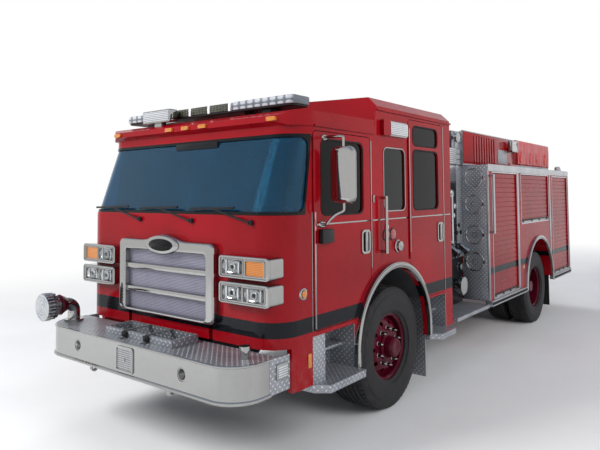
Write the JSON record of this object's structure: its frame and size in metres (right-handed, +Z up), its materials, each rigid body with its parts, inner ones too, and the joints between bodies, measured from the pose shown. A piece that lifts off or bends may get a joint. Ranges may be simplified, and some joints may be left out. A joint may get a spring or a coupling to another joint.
{
  "type": "fire engine",
  "caption": "Custom-cab pumper: tilting crew cab with four doors, midship pump, shuttered body with hose bed, twin rear wheels.",
  "frame": {"origin": "on the ground under the middle of the vehicle's box", "axes": "+Z up, -Y to the front, +X to the vehicle's left"},
  "size_m": [3, 8.59, 2.935],
  "materials": {
    "red_paint": "gloss",
    "red_cover": "satin",
    "chassis_paint": "satin",
    "bright_steel": "polished",
    "satin_steel": "brushed",
    "tread_plate": "tread plate",
    "shutter_paint": "satin",
    "cast_metal": "rough",
    "wheel_paint": "gloss",
    "tyre": "matt",
    "black_rubber": "matt",
    "black_plastic": "matt",
    "tinted_glass": "clear",
    "clear_lens": "clear",
    "amber_lens": "clear",
    "red_lens": "clear",
    "seat_fabric": "woven",
    "cab_lining": "matt"
  },
  "bodies": {
    "chassis": {"frame": "chassis_paint", "engine": "cast_metal", "radiator": "black_plastic", "front_axle": "chassis_paint", "rear_axle": "chassis_paint", "bumper": "bright_steel", "bumper_deck": "tread_plate", "bumper_fittings": "bright_steel", "front_suction": "bright_steel", "pump_house": "satin_steel", "pump_panels": "satin_steel", "pump_fittings": "bright_steel", "bottle_doors": "bright_steel", "step_boards": "tread_plate", "body_sides": "red_paint", "hose_bed": "tread_plate", "hose_cover": "red_cover", "shutters": "shutter_paint", "body_trim": "satin_steel", "body_lamps": "red_lens", "mud_flaps": "black_rubber"},
    "cab": {"cab_shell": "red_paint", "cab_roof": "red_paint", "cab_floor": "cab_lining", "cab_glass": "tinted_glass", "grille": "bright_steel", "grille_screen": "satin_steel", "lamp_bezels": "bright_steel", "clear_lamps": "clear_lens", "amber_lamps": "amber_lens", "wipers": "black_plastic", "roof_lamps": "clear_lens", "cab_trim": "bright_steel", "cab_steps": "tread_plate", "dash": "cab_lining", "seats": "seat_fabric"},
    "steering": {"steering_wheel": "black_plastic"},
    "front_door_left": {"front_door_left": "red_paint", "front_door_left_glass": "tinted_glass", "front_door_left_fittings": "bright_steel"},
    "front_door_right": {"front_door_right": "red_paint", "front_door_right_glass": "tinted_glass", "front_door_right_fittings": "bright_steel"},
    "crew_door_left": {"crew_door_left": "red_paint", "crew_door_left_glass": "tinted_glass", "crew_door_left_fittings": "bright_steel"},
    "crew_door_right": {"crew_door_right": "red_paint", "crew_door_right_glass": "tinted_glass", "crew_door_right_fittings": "bright_steel"},
    "knuckle_left": {"knuckle_left": "cast_metal"},
    "front_wheel_left": {"front_wheel_left": "wheel_paint", "front_tyre_left": "tyre"},
    "rear_wheels_left": {"rear_wheels_left": "wheel_paint", "rear_tyres_left": "tyre"},
    "knuckle_right": {"knuckle_right": "cast_metal"},
    "front_wheel_right": {"front_wheel_right": "wheel_paint", "front_tyre_right": "tyre"},
    "rear_wheels_right": {"rear_wheels_right": "wheel_paint", "rear_tyres_right": "tyre"}
  },
  "joints": [
    {"name": "cab_tilt", "type": "hinge", "parent": "chassis", "child": "cab", "pos_m": [0, -3.725, 0.97], "axis": [1, 0, 0], "range_deg": [0, 45]},
    {"name": "front_door_left_hinge", "type": "hinge", "parent": "cab", "child": "front_door_left", "pos_m": [1.2265, -3.367, 1.7], "axis": [0, 0, -1], "range_deg": [0, 75]},
    {"name": "front_door_right_hinge", "type": "hinge", "parent": "cab", "child": "front_door_right", "pos_m": [-1.2265, -3.367, 1.7], "axis": [0, 0, 1], "range_deg": [0, 75]},
    {"name": "crew_door_left_hinge", "type": "hinge", "parent": "cab", "child": "crew_door_left", "pos_m": [1.2265, -1.802, 1.7], "axis": [0, 0, -1], "range_deg": [0, 75]},
    {"name": "crew_door_right_hinge", "type": "hinge", "parent": "cab", "child": "crew_door_right", "pos_m": [-1.2265, -1.802, 1.7], "axis": [0, 0, 1], "range_deg": [0, 75]},
    {"name": "steer_left", "type": "hinge", "parent": "chassis", "child": "knuckle_left", "pos_m": [0.8, -2.108, 0.5625], "axis": [0, 0, 1], "range_deg": [-35, 35]},
    {"name": "steer_right", "type": "hinge", "parent": "chassis", "child": "knuckle_right", "pos_m": [-0.8, -2.108, 0.5625], "axis": [0, 0, 1], "range_deg": [-35, 35]},
    {"name": "steering_wheel_turn", "type": "hinge", "parent": "cab", "child": "steering", "pos_m": [0.8, -3.175, 1.79], "axis": [0, 0.5, 0.866], "range_deg": [-700, 700]},
    {"name": "front_wheel_left_spin", "type": "hinge", "parent": "knuckle_left", "child": "front_wheel_left", "pos_m": [0.985, -2.108, 0.5625], "axis": [1, 0, 0], "continuous": true},
    {"name": "rear_wheels_left_spin", "type": "hinge", "parent": "chassis", "child": "rear_wheels_left", "pos_m": [0.875, 2.355, 0.54], "axis": [1, 0, 0], "continuous": true},
    {"name": "front_wheel_right_spin", "type": "hinge", "parent": "knuckle_right", "child": "front_wheel_right", "pos_m": [-0.985, -2.108, 0.5625], "axis": [1, 0, 0], "continuous": true},
    {"name": "rear_wheels_right_spin", "type": "hinge", "parent": "chassis", "child": "rear_wheels_right", "pos_m": [-0.875, 2.355, 0.54], "axis": [1, 0, 0], "continuous": true}
  ],
  "couplings": [
    {"joint": "steer_right", "follows": "steer_left", "ratio": 1},
    {"joint": "steering_wheel_turn", "follows": "steer_left", "ratio": 20}
  ]
}
